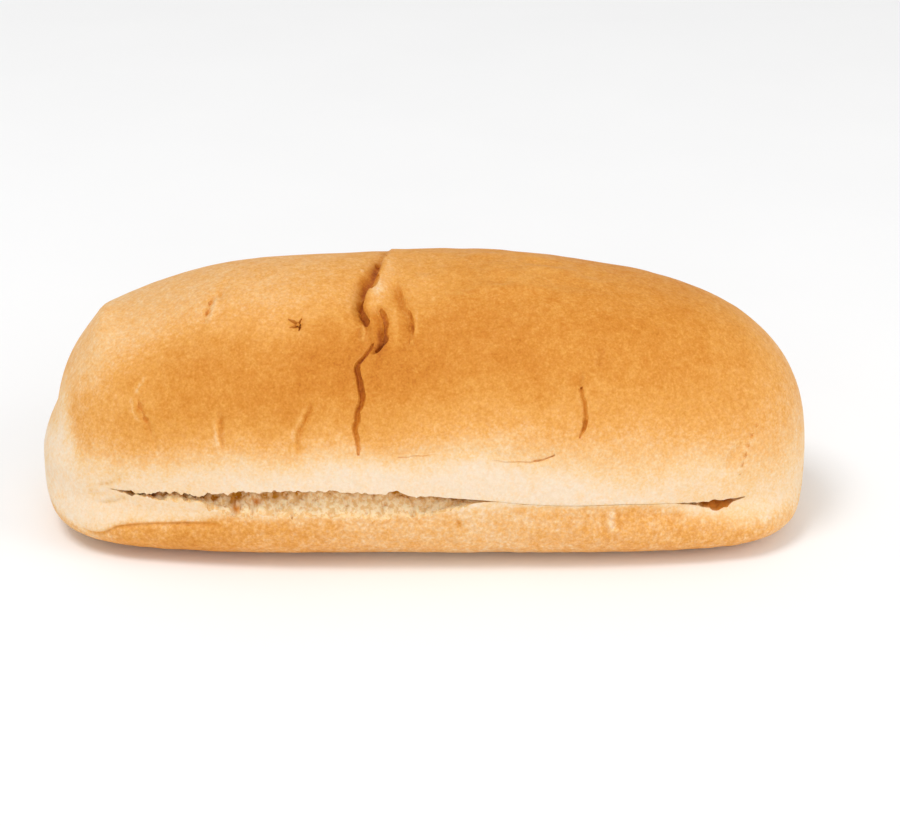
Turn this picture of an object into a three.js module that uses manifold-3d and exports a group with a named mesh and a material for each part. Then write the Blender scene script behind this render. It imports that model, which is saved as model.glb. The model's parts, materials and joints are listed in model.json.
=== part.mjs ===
// A hot dog bun: one soft white loaf, baked side by side with others and pulled free, with one
// long knife cut from its front that leaves the two halves joined along the back.
//
// Millimetres. +X runs along the loaf, the cut opens towards -Y, +Z is up, and the origin is the
// middle of the flat underside. "left" is -X and "right" is +X, as seen from the cut side.
import * as THREE from 'three';
import { mergeVertices } from 'three/addons/utils/BufferGeometryUtils.js';
import Module from 'manifold-3d';

// ---------------------------------------------------------------- driving dimensions

const LENGTH = 152; // a six-inch bun
const WIDTH = 62;
const HEIGHT = 52;
const WAIST = 12; // height of the widest line, just above the base
const BASE_DEPTH = 13.5; // from the waist down, before the base is cut flat

// Roundness: 2 is an ellipse, and a larger number is squarer.
const DOME_ROUND = 2.16; // cross-section above the waist
const BASE_ROUND = 3.1; // cross-section below it
const LEFT_END_ROUND = 2.9; // plan outline above the waist
const RIGHT_END_ROUND = 2.62;
const LEFT_FOOT_ROUND = 4.8; // plan outline at the base
const RIGHT_FOOT_ROUND = 5.3;

// The dome's left end stands back from the pale lobe under it, where two buns were joined.
const DOME_SETBACK = 2.4;
const LOBE_TOP = 15;
const SETBACK_FULL = 24;

// Places on the crust are given as (x, s): x along the loaf, and s round it, measured from the
// front of the waist over the top, on a roll of this radius.
const ROLL = 34;

// The crust's slow unevenness: two waves, each with its height and its two lengths.
const LONG_WAVE = { height: 0.3, along: 8, across: 14 };
const ROUND_WAVE = { height: 0.25, along: 15, around: 9 };
const WAVES_AT = 45; // s where they are strongest
const WAVES_REACH = 40;

// Beside the main crack the crust stands up on the right and sinks on the left.
const CRACK_RISE = 0.8;
const RISE_REACH = 9;
const CRACK_DIP = 0.5;
const DIP_REACH = 5;
const CRACK_STEP_WIDTH = 0.8; // half the width of the step between them
const STEP_FOOT = [12, 34]; // s where the step begins and is full
const STEP_TOP = [56, 66]; // s where it starts to fade and is gone, past the crown

// A shoulder at the dome's left end, and the edge of the browned skin above the pale side.
const SHOULDER = { x: -63, s: 52, height: 1.3, reachX: 7, reachS: 16 };
const SKIN_EDGE = { x: 8, s: 15, height: 0.5, reachX: 22, reachS: 9, from: 11, to: 16 };

// The knife cut.
const CUT_LEFT = -62;
const CUT_RIGHT = 63;
const CUT_BACK = 19; // y of the hinge, which leaves 12 mm of bread uncut
const CUT_HIGH = 15.4; // height of the upper lip on the left
const CUT_LOW = 12.6; // and on the right, where the knife ran lower
const CUT_FALL = [0, 62]; // x where it runs from one to the other
const CUT_ARCH = { x: -17, height: 1.9, reach: 20 }; // the upper lip lifts left of the middle
const CUT_NOTCH = { x: -5.3, height: 0.9, reach: 1.8 }; // a nick in it
const LIP_WANDER = { height: 0.2, along: 5 };
const CUT_HINGE = 14.5; // the cut's height at the hinge
const CUT_GAP = 0.9; // between the halves
const CUT_GAP_END = 0.35; // where the cut runs out
const TEAR_DEPTH = 2.6; // how far the torn lower lip falls away at the front
const TEAR_REACH = 5; // how far in that tear goes
const TEAR_LEAST = 0.35; // share of it all along the cut
const TEAR_MIDDLE = { x: -20, share: 0.65, reach: 26 };
const TEAR_RIGHT = { x: 54, share: 0.25, reach: 6 };
const CRUMB = { height: 0.25, along: 0.9, across: 1.1 }; // torn unevenness inside the cut

// Each crack is a few places (x, s) that it passes through, from its top end down. It narrows
// at both ends.
const CRACKS = {
  main: {
    path: [
      [-6.5, 56.5], [-8.2, 53], [-8.7, 49.5], [-10.5, 45.8], [-11.7, 41], [-10.8, 36.5],
      [-11.1, 33.6], [-12.9, 30], [-11.6, 24], [-13.2, 19.5], [-12.7, 13.8],
    ],
    width: 1.3,
    depth: 2.3,
  },
  hook: {
    path: [[-8.9, 41], [-7.4, 38], [-6.8, 35], [-7.7, 32.6], [-9.8, 31.7]],
    width: 1.3,
    depth: 1.9,
  },
  short_fold: {
    path: [[-5.3, 45], [-3.5, 41.8], [-2.4, 38.7], [-2.3, 35.5]],
    width: 1,
    depth: 1.5,
  },
  right: {
    path: [[30.2, 29.5], [29.8, 27.2], [31.1, 24], [30.9, 21.3], [30.2, 18.6], [28.7, 16.8]],
    width: 1,
    depth: 1.7,
  },
  right_foot: {
    path: [[26.4, 15.6], [24, 13.3], [20.5, 12.3], [14, 12.3]],
    width: 0.9,
    depth: 1.3,
  },
  right_end: {
    path: [[64.4, 21.8], [62.7, 18.1], [62.1, 15.2], [61.7, 12.4], [61, 9]],
    width: 0.8,
    depth: 1.3,
  },
  left_top: {
    path: [[-40.5, 45.6], [-41.4, 42.1], [-42.2, 39.5]],
    width: 0.9,
    depth: 1.3,
  },
  left: {
    path: [[-53, 27.8], [-55.1, 25.2], [-54.6, 23.4], [-52.9, 20], [-51.8, 17], [-51.5, 13.8]],
    width: 0.8,
    depth: 1.3,
  },
  left_middle: {
    path: [[-38.5, 20.2], [-38.7, 17.4], [-38.2, 15]],
    width: 0.8,
    depth: 1.1,
  },
  beside_main: {
    path: [[-21.6, 22.4], [-23.1, 19.8], [-24, 16.9], [-23.6, 14]],
    width: 0.8,
    depth: 1.1,
  },
};

// Mesh steps. The loaf's lines are drawn together round the main crack.
const LOAF_STEPS = [50, 18, 14];
const CUT_STEPS = [54, 9, 1];
const CRACK_STEP = 1.6; // along a crack
const CUTTER_PROUD = 0.7; // how far a crack's cutter stands out of the crust
const FINEST_EDGE = 0.02;
const GATHER = { x: -0.14, reach: 0.12, share: 0.6 }; // x and reach as shares of half the length

// ---------------------------------------------------------------- small helpers

function smooth([low, high], value) {
  return THREE.MathUtils.smoothstep(value, low, high);
}

function mix(from, to, share) {
  return THREE.MathUtils.lerp(from, to, share);
}

function bell(distance, reach) {
  return Math.exp(-((distance / reach) ** 2));
}

// ---------------------------------------------------------------- the loaf's surface

// How far out a point is, as a share of the way to the plain loaf's surface. The section is a
// rounded square in y and z, and the plan outline rounds it off towards both ends.
function outness(x, y, z) {
  const along = Math.abs(x) / (LENGTH / 2);
  const across = Math.abs(y) / (WIDTH / 2);
  const above = z >= WAIST;
  const rise = (z - WAIST) / (above ? HEIGHT - WAIST : BASE_DEPTH);
  const furthest = Math.max(along, across, Math.abs(rise));
  const upper = x < 0 ? LEFT_END_ROUND : RIGHT_END_ROUND;
  const foot = x < 0 ? LEFT_FOOT_ROUND : RIGHT_FOOT_ROUND;
  const round = mix(foot, upper, smooth([-1, 0], rise / furthest));
  const corner = above ? DOME_ROUND : BASE_ROUND;
  const section = (across ** corner + Math.abs(rise) ** corner) ** (1 / corner);
  return (section ** round + along ** round) ** (1 / round);
}

function setback(x, z) {
  const leftward = Math.max(-x / (LENGTH / 2), 0);
  return DOME_SETBACK * smooth([LOBE_TOP, SETBACK_FULL], z) * leftward ** 4;
}

// x of the main crack at the height s.
function mainCrackX(s) {
  const places = CRACKS.main.path;
  const below = places.findIndex((place) => place[1] <= s);
  if (below <= 0) return places.at(below)[0];
  const [upperX, upperS] = places[below - 1];
  const [lowerX, lowerS] = places[below];
  return mix(lowerX, upperX, (s - lowerS) / (upperS - lowerS));
}

// How far the crust stands up beside the main crack, or sinks where this is negative.
function crackStep(x, s) {
  const beside = x - mainCrackX(s);
  const rightOfIt = smooth([-CRACK_STEP_WIDTH, CRACK_STEP_WIDTH], beside);
  const left = -CRACK_DIP * bell(beside, DIP_REACH);
  const right = CRACK_RISE * bell(beside, RISE_REACH);
  return mix(left, right, rightOfIt) * smooth(STEP_FOOT, s) * (1 - smooth(STEP_TOP, s));
}

function patch({ x, s, reachX, reachS, height }, atX, atS) {
  return height * bell(atX - x, reachX) * bell(atS - s, reachS);
}

// Height of the crust's own unevenness over the plain loaf, at one place.
function relief(x, s, y) {
  const long = LONG_WAVE.height * Math.sin(x / LONG_WAVE.along + y / LONG_WAVE.across);
  const round = ROUND_WAVE.height * Math.cos(x / ROUND_WAVE.along - s / ROUND_WAVE.around);
  const waves = (long + round) * bell(s - WAVES_AT, WAVES_REACH);
  const skin = patch(SKIN_EDGE, x, s) * smooth([SKIN_EDGE.from, SKIN_EDGE.to], s);
  return waves + crackStep(x, s) + patch(SHOULDER, x, s) + skin;
}

// The place (x, s) on the crust, and the way out of the loaf there.
function onCrust(x, s) {
  const turn = s / ROLL;
  const outward = new THREE.Vector3(0, -Math.cos(turn), Math.sin(turn));
  let inside = 0;
  let outside = HEIGHT;
  while (outside - inside > 1e-6) {
    const middle = (inside + outside) / 2;
    const isIn = outness(x, middle * outward.y, WAIST + middle * outward.z) < 1;
    inside = isIn ? middle : inside;
    outside = isIn ? outside : middle;
  }
  const radius = inside + relief(x, s, inside * outward.y);
  const point = new THREE.Vector3(x, radius * outward.y, WAIST + radius * outward.z);
  point.x += setback(x, point.z);
  return { point, outward };
}

// ---------------------------------------------------------------- solids

const wasm = await Module();
wasm.setup();

// A solid from a closed three.js shape, with each vertex moved to where place(vertex) puts it.
function solidFrom(geometry, place) {
  geometry.deleteAttribute('normal');
  geometry.deleteAttribute('uv');
  const merged = mergeVertices(geometry);
  const position = merged.attributes.position;
  const vertex = new THREE.Vector3();
  for (let k = 0; k < position.count; k += 1) {
    const moved = place(vertex.fromBufferAttribute(position, k));
    position.setXYZ(k, moved.x, moved.y, moved.z);
  }
  return new wasm.Manifold(new wasm.Mesh({
    numProp: 3,
    vertProperties: new Float32Array(position.array),
    triVerts: new Uint32Array(merged.index.array),
  }));
}

function geometryFrom(solid) {
  const mesh = solid.getMesh();
  const geometry = new THREE.BufferGeometry();
  geometry.setAttribute('position', new THREE.BufferAttribute(mesh.vertProperties, 3));
  geometry.setIndex(new THREE.BufferAttribute(mesh.triVerts, 1));
  geometry.computeVertexNormals();
  return geometry;
}

// Moves x, from -1 to 1, so that the mesh lines crowd together round the main crack.
function gather(x) {
  const pull = Math.tanh((x - GATHER.x) / GATHER.reach);
  return x - GATHER.share * GATHER.reach * pull * (1 - x * x);
}

// The whole loaf, before it is cut: a divided box, blown out to the loaf's surface, then made
// flat underneath.
function loafSolid() {
  const box = new THREE.BoxGeometry(2, 2, 2, ...LOAF_STEPS);
  const loaf = solidFrom(box, (p) => {
    const half = p.z < 0 ? BASE_DEPTH : HEIGHT - WAIST;
    const onBox = new THREE.Vector3(gather(p.x) * LENGTH / 2, p.y * WIDTH / 2, p.z * half);
    const plain = onBox.divideScalar(outness(onBox.x, onBox.y, WAIST + onBox.z));
    const radius = Math.hypot(plain.y, plain.z);
    const s = ROLL * Math.atan2(plain.z, -plain.y);
    const lift = relief(plain.x, s, plain.y) * smooth([0, WAIST], radius);
    const stretch = 1 + lift / Math.max(radius, FINEST_EDGE);
    const height = WAIST + plain.z * stretch;
    return new THREE.Vector3(plain.x + setback(plain.x, height), plain.y * stretch, height);
  });
  return loaf.trimByPlane([0, 0, 1], 0);
}

// A three-cornered bar laid along the crack, point down: a V groove when it is cut away.
function crackSolid({ path, width, depth }) {
  const curve = new THREE.CatmullRomCurve3(path.map(([x, s]) => new THREE.Vector3(x, s, 0)));
  const bar = new THREE.CylinderGeometry(1, 1, 1, 3, Math.round(curve.getLength() / CRACK_STEP));
  const corner = new THREE.Vector3(Math.sin(Math.PI / 3), 0, -Math.cos(Math.PI / 3));
  return solidFrom(bar, (p) => {
    const along = THREE.MathUtils.clamp(p.y + 0.5, 0, 1);
    const here = curve.getPointAt(along);
    const ahead = curve.getTangentAt(along);
    const { point, outward } = onCrust(here.x, here.y);
    const forward = new THREE.Vector3(ahead.x, ahead.y * outward.z, -ahead.y * outward.y);
    const sideways = new THREE.Vector3().crossVectors(outward, forward);
    const taper = Math.sqrt(Math.sin(Math.PI * mix(0.06, 0.94, along)));
    const halfWidth = (width / 2) * taper * (1 + CUTTER_PROUD / depth);
    const downShare = (p.z - corner.z) / (1 - corner.z);
    point.addScaledVector(sideways, (p.x / corner.x) * halfWidth);
    return point.addScaledVector(outward, mix(CUTTER_PROUD, -depth * taper, downShare));
  });
}

// Height of the upper lip of the cut.
function lipHeight(x) {
  const level = mix(CUT_HIGH, CUT_LOW, smooth(CUT_FALL, x));
  const arch = CUT_ARCH.height * bell(x - CUT_ARCH.x, CUT_ARCH.reach);
  const notch = CUT_NOTCH.height * bell(x - CUT_NOTCH.x, CUT_NOTCH.reach);
  return level + arch + notch + LIP_WANDER.height * Math.sin(x / LIP_WANDER.along);
}

// How much of the tear's depth there is at x.
function tearShare(x) {
  const middle = TEAR_MIDDLE.share * bell(x - TEAR_MIDDLE.x, TEAR_MIDDLE.reach);
  const right = TEAR_RIGHT.share * bell(x - TEAR_RIGHT.x, TEAR_RIGHT.reach);
  return TEAR_LEAST + middle + right;
}

// What the knife and the tear took out: a thin leaf, from in front of the loaf to the hinge.
// Its depth falls away at both ends, and its lower face drops where the lower lip is torn.
function cutSolid() {
  const leaf = new THREE.BoxGeometry(2, 1, 2, ...CUT_STEPS);
  const middle = (CUT_LEFT + CUT_RIGHT) / 2;
  const halfLength = (CUT_RIGHT - CUT_LEFT) / 2;
  const front = -WIDTH / 2 - 3;
  return solidFrom(leaf, (p) => {
    const x = middle + p.x * halfLength;
    const inward = p.y + 0.5;
    const depth = (CUT_BACK - front) * (1 - 0.97 * Math.abs(p.x) ** 8);
    const y = front + depth * inward ** 1.5;
    const fromMouth = y + WIDTH / 2;
    const openness = 1 - Math.abs(p.x) ** 6;
    const gap = mix(CUT_GAP_END, CUT_GAP, openness * (1 - 0.6 * inward));
    const tear = TEAR_DEPTH * tearShare(x) * openness * (1 - smooth([-2, TEAR_REACH], fromMouth));
    const crumbWave = Math.sin(x / CRUMB.along) * Math.sin(y / CRUMB.across + 1);
    const crumb = CRUMB.height * openness * crumbWave;
    const roof = mix(lipHeight(x), CUT_HINGE, smooth([0, -front], fromMouth));
    const z = p.z > 0 ? roof + 0.4 * crumb : roof - gap - tear - Math.abs(crumb);
    return new THREE.Vector3(x, y, z);
  });
}

// ---------------------------------------------------------------- the bun

// The cuts can leave a loose scrap of crumb, so only the largest piece is kept.
function bunSolid() {
  const cuts = [cutSolid(), ...Object.values(CRACKS).map(crackSolid)];
  const pieces = loafSolid().subtract(wasm.Manifold.union(cuts)).simplify(FINEST_EDGE).decompose();
  return pieces.reduce((largest, piece) => (piece.volume() > largest.volume() ? piece : largest));
}

const crust = new THREE.MeshStandardMaterial({ color: '#e6a45c', roughness: 0.7, metalness: 0 });
const bun = new THREE.Mesh(geometryFrom(bunSolid()), crust);
bun.name = 'bun';

const model = new THREE.Group();
model.add(bun);

export default model;
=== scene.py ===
# %% [markdown]
# # A hot dog bun
#
# This is a soft white bun, 15 cm long. It was baked touching its neighbours and pulled away from
# them, so its sides stayed pale while its top and its foot browned. A knife has opened it from
# the front, and the two halves still hold together along the back.
#
# The bun is one piece of bread, so here it is one mesh. What makes it look like bread is the
# uneven crust with its cracks and folds, the torn crumb in the cut, and the way that the
# browning comes and goes over the surface. Each gets a step of its own below.
#
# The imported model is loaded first. It fixes where the bun is and how big it is.

import json
import math

import bpy
import numpy as np
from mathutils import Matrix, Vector

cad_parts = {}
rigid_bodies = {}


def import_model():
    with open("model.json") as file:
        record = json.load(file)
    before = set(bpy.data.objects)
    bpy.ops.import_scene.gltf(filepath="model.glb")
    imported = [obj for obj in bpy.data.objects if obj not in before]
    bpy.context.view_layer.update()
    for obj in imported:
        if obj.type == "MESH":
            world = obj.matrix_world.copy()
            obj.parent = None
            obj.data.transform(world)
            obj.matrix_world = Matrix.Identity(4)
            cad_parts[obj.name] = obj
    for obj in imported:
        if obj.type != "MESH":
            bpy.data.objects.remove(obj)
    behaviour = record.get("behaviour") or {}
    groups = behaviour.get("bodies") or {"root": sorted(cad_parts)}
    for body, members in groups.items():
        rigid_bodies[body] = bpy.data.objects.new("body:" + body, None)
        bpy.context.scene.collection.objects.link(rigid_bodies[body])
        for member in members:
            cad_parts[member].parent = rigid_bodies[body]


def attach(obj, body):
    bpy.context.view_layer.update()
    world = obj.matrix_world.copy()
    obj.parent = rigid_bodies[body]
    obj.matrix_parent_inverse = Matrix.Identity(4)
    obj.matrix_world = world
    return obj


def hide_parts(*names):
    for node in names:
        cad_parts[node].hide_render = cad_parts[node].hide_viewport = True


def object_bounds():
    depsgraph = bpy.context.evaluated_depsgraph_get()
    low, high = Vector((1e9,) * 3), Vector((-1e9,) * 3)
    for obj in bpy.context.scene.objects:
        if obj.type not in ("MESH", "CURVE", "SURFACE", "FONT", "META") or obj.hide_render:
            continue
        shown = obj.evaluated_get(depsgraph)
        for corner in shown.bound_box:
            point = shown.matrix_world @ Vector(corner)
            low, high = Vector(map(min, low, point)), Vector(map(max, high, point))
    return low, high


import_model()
CAD_LOW, CAD_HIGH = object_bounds()
MM = 0.001  # sizes and places are written in millimetres, and this turns them into metres
print("packed bun, mm:", [round(side / MM, 1) for side in CAD_HIGH - CAD_LOW])

# %% [markdown]
# ## The studio
#
# The camera stands in front of the cut and looks down at 25 degrees, from half a metre away. It
# sees the bun almost without perspective, so the lens is a long one.
#
# A bun that lies on a white table gets light from everywhere: the sky-like world light stands
# for that. A soft lamp high on the left gives some sheen on the crown and the thin shadows in the
# cracks, and two wider ones, in front and on the right, keep those shadows light. More sheen on
# the crown, and shade in the cracks, folds and cut, is painted into the colours further down.
# Hard lamps would make the crust look like plastic.

# %% Camera
PHOTO_WIDTH = 900  # pixels
FOCAL_PIXELS = 2501  # the lens, measured in the same pixels
SENSOR_WIDTH = 36  # millimetres
LEFT_OF_CENTRE = 25.3  # how far the bun's middle lies from the picture's middle, in pixels
ABOVE_CENTRE = 11.8
CAMERA_TILT = math.radians(25)
CAMERA_AIM = Vector((0, 0, 22 * MM))
CAMERA_DISTANCE = 500 * MM

towards_camera = Vector((0, -math.cos(CAMERA_TILT), math.sin(CAMERA_TILT)))
bpy.ops.object.camera_add(location=CAMERA_AIM + towards_camera * CAMERA_DISTANCE)
camera = bpy.context.object
camera.rotation_euler = towards_camera.to_track_quat("Z", "Y").to_euler()
camera.data.sensor_width = SENSOR_WIDTH
camera.data.lens = FOCAL_PIXELS * SENSOR_WIDTH / PHOTO_WIDTH
camera.data.shift_x = LEFT_OF_CENTRE / PHOTO_WIDTH
camera.data.shift_y = -ABOVE_CENTRE / PHOTO_WIDTH
bpy.context.scene.camera = camera
print("lens, mm:", round(camera.data.lens, 1))

# %% Lamps, world light and floor
SKY_STRENGTH = 0.605
FLOOR_SIZE = 6  # metres
LAMPS = {
    # name: (place in metres, width in metres, watts)
    "key": ((-0.4, -0.25, 1.1), 0.45, 5.4),
    "front": ((0.1, -1.2, 0.2), 1.0, 4.2),
    "right": ((1.0, -0.35, 0.5), 0.6, 3.2),
}


def lamp(name, place, width, watts):
    """A square soft lamp that points at the bun."""
    bpy.ops.object.light_add(type="AREA", location=place)
    made = bpy.context.object
    made.name = name
    made.data.shape = "SQUARE"
    made.data.size = width
    made.data.energy = watts
    made.rotation_euler = (Vector(place) - CAMERA_AIM).to_track_quat("Z", "Y").to_euler()


for name, (place, width, watts) in LAMPS.items():
    lamp(name, place, width, watts)

world = bpy.data.worlds.new("sky")
world.use_nodes = True
sky = world.node_tree.nodes["Background"].inputs
sky["Color"].default_value = (1, 1, 1, 1)
sky["Strength"].default_value = SKY_STRENGTH
bpy.context.scene.world = world
bpy.context.scene.view_settings.view_transform = "Standard"

bpy.ops.object.select_all(action="DESELECT")
bpy.ops.mesh.primitive_plane_add(size=FLOOR_SIZE)
floor = bpy.context.object
floor.name = "floor"
print("lamps:", len(LAMPS))

# %% [markdown]
# ## Small tools for shaping
#
# The bun is shaped as a sculptor would do it, by moving the points of a fine mesh. A rule says
# how far each point moves, and the rules below are made from a few simple curves:
#
# - `smooth` goes from 0 to 1 between two limits, with no corner at either end.
# - `bell` is 1 in the middle and fades to nothing on both sides. It makes bumps and hollows.
# - `Wander` is random unevenness of a given size. Its random numbers come from a seed, so the
#   bun is the same each time.

# %% Curves and wander
BELL_ENDS = 4  # this many reaches away, a bell is as good as nothing
NEARLY_ZERO = 1e-9


def smooth(low, high, value):
    share = np.clip((value - low) / (high - low), 0, 1)
    return share * share * (3 - 2 * share)


def bell(distance, reach):
    return np.exp(-((distance / reach) ** 2))


def mix(start, end, share):
    return start + (end - start) * share


class Wander:
    """Random heights on a lattice, blended smoothly between its points."""

    CELLS = 48

    def __init__(self, seed):
        self.heights = np.random.default_rng(seed).uniform(-1, 1, (self.CELLS,) * 3)

    def __call__(self, size, x, y=0.0, z=0.0):
        """Heights from -1 to 1, with bumps about `size` millimetres apart."""
        places = np.broadcast_arrays(*(np.asarray(a, float) / size for a in (x, y, z)))
        cells = [np.floor(a).astype(int) for a in places]
        shares = [smooth(0, 1, a - cell) for a, cell in zip(places, cells)]
        total = np.zeros(places[0].shape)
        for corner in np.ndindex(2, 2, 2):
            weight = 1.0
            at = []
            for side, cell, share in zip(corner, cells, shares):
                weight = weight * (share if side else 1 - share)
                at.append((cell + side) % self.CELLS)
            total += weight * self.heights[tuple(at)]
        return total


print("a bell at its reach is", round(float(bell(1, 1)), 2))

# %% [markdown]
# ## The plain loaf
#
# Dough that rises in a tin beside other dough is neither a box nor an egg. Its section is a
# rounded square with a high dome, and its ends are blunt, blunter at the foot than at the top.
#
# One formula gives all of that. It is the formula of an ellipse with its power raised from 2 to
# a larger number, which makes the curve squarer. `outness` tells how far out a point is: less
# than 1 is in the bread and more than 1 is outside.

# %% The loaf's sizes
LENGTH = round((CAD_HIGH.x - CAD_LOW.x) / MM)
WIDTH = 62
HEIGHT = 52
WAIST = 12  # height of the widest line
BASE_DEPTH = 13.5  # from the waist down, before the foot is cut flat

DOME_ROUND = 2.16  # squareness of the section above the waist
BASE_ROUND = 3.1  # and below it
END_ROUND = (2.9, 2.62)  # squareness of the outline above the waist, at the left and right end
FOOT_ROUND = (4.8, 5.3)  # and at the foot

DOME_SETBACK = 2.4  # the dome's left end stands back from the pale lobe under it
LOBE_TOP, SETBACK_FULL = 15, 24
SETBACK_CURVE = 4  # the larger, the nearer to the tip the setback stays

ROLL = 34  # a place on the crust is (x, s): s is measured round a roll of this radius
print("loaf, mm:", LENGTH, "x", WIDTH, "x", HEIGHT)


# %% The loaf's rule
def by_end(pair, x):
    """The first of two values at the left end, and the second at the right end."""
    return np.where(x < 0, *pair)


def roundness(x, along, across, rise):
    """Squareness of the outline at a point."""
    furthest = np.maximum(np.maximum(along, across), np.abs(rise))
    up = smooth(-1, 0, rise / np.maximum(furthest, NEARLY_ZERO))
    return mix(by_end(FOOT_ROUND, x), by_end(END_ROUND, x), up)


def shares_out(x, y, z):
    """Shares of the way out along the loaf and across its section, and the roundness."""
    along = np.abs(x) / (LENGTH / 2)
    across = np.abs(y) / (WIDTH / 2)
    above = z >= WAIST
    rise = (z - WAIST) / np.where(above, HEIGHT - WAIST, BASE_DEPTH)
    corner = np.where(above, DOME_ROUND, BASE_ROUND)
    section = (across**corner + np.abs(rise) ** corner) ** (1 / corner)
    return along, section, roundness(x, along, across, rise)


def outness(x, y, z):
    along, section, round_ = shares_out(x, y, z)
    return (section**round_ + along**round_) ** (1 / round_)


def setback(x, z):
    leftward = np.maximum(-x / (LENGTH / 2), 0)
    return DOME_SETBACK * smooth(LOBE_TOP, SETBACK_FULL, z) * leftward**SETBACK_CURVE


def place_of(x, y, z):
    """The place s round the roll, and the distance from the loaf's long axis."""
    return ROLL * np.arctan2(z - WAIST, -y), np.hypot(y, z - WAIST)


print("outness at the crown:", round(float(outness(0.0, 0.0, HEIGHT)), 3))

# %% [markdown]
# ## Lines on the crust
#
# Every crack, fold and wrinkle follows a line on the crust. A line is a few places (x, s) that
# it passes through, listed from its top end down, and `Trail` runs a smooth curve through them.
# For any point it can then tell how far beside the line that point is. Distances to the right
# count as positive, so one side of a fold can stand up while the other side sinks.

# %% Trail
class Trail:
    """A smooth line on the crust through a few places (x, s)."""

    STEP = 0.5
    FAR = 1e6  # stands for any distance beyond the reach

    def __init__(self, places):
        places = np.array(places, float)
        first, last = 2 * places[0] - places[1], 2 * places[-1] - places[-2]
        guides = np.vstack([first, places, last])
        stretches = []
        for k in range(len(places) - 1):
            before, start, end, after = guides[k:k + 4]
            count = max(2, round(float(np.hypot(*(end - start))) / self.STEP))
            t = np.linspace(0, 1, count, endpoint=False)[:, None]
            bend = 2 * before - 5 * start + 4 * end - after
            twist = 3 * start - before - 3 * end + after
            stretches.append(start + 0.5 * ((end - before) * t + bend * t**2 + twist * t**3))
        self.points = np.vstack([*stretches, places[-1:]])
        steps = np.hypot(*np.diff(self.points, axis=0).T)
        self.travelled = np.concatenate([[0], np.cumsum(steps)])
        self.length = self.travelled[-1]

    def at(self, share):
        """The places at these shares of the way along."""
        travelled = share * self.length
        return [np.interp(travelled, self.travelled, self.points[:, k]) for k in (0, 1)]

    def near(self, x, s, reach):
        """Signed distance beside the line, and share of the way along it, within reach."""
        low, high = self.points.min(0) - reach, self.points.max(0) + reach
        close = (x > low[0]) & (x < high[0]) & (s > low[1]) & (s < high[1])
        here_x, here_s = x[close], s[close]
        distance = np.full(here_x.shape, self.FAR)
        side = np.ones(here_x.shape)
        share = np.zeros(here_x.shape)
        for start, end, travelled in zip(self.points, self.points[1:], self.travelled):
            step = end - start
            t = ((here_x - start[0]) * step[0] + (here_s - start[1]) * step[1]) / (step @ step)
            t = np.clip(t, 0, 1)
            off_x, off_s = here_x - start[0] - t * step[0], here_s - start[1] - t * step[1]
            nearer = np.hypot(off_x, off_s) < distance
            distance = np.where(nearer, np.hypot(off_x, off_s), distance)
            side = np.where(nearer, np.sign(step[0] * off_s - step[1] * off_x), side)
            here = (travelled + t * np.hypot(*step)) / self.length
            share = np.where(nearer, here, share)
        beside = np.full(x.shape, self.FAR)
        along = np.zeros(x.shape)
        beside[close], along[close] = side * distance, share
        return beside, along


print("a short line is", round(float(Trail([(0, 30), (2, 20)]).length), 1), "mm long")

# %% [markdown]
# ## Cracks, folds and wrinkles
#
# Three kinds of line are on this crust.
#
# - **Cracks** are open splits, shallow but crisp. Later a thin bar that narrows downwards is laid
#   along each and cut out of the bread, which gives edges that no bump map can.
# - **Folds** are places where the skin stands up on one side of a line and sinks on the other,
#   as beside the big crack, where the crust tore while the bun was still rising.
# - **Wrinkles** are soft narrow dents in the skin, and a few fine ridges.

# %% Cracks
LOWER_PART = [(-11.4, 31.8), (-12.9, 29.9), (-12.6, 28.2), (-11.8, 24), (-12.5, 22),
              (-13.1, 18.6), (-12.6, 16)]
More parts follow.
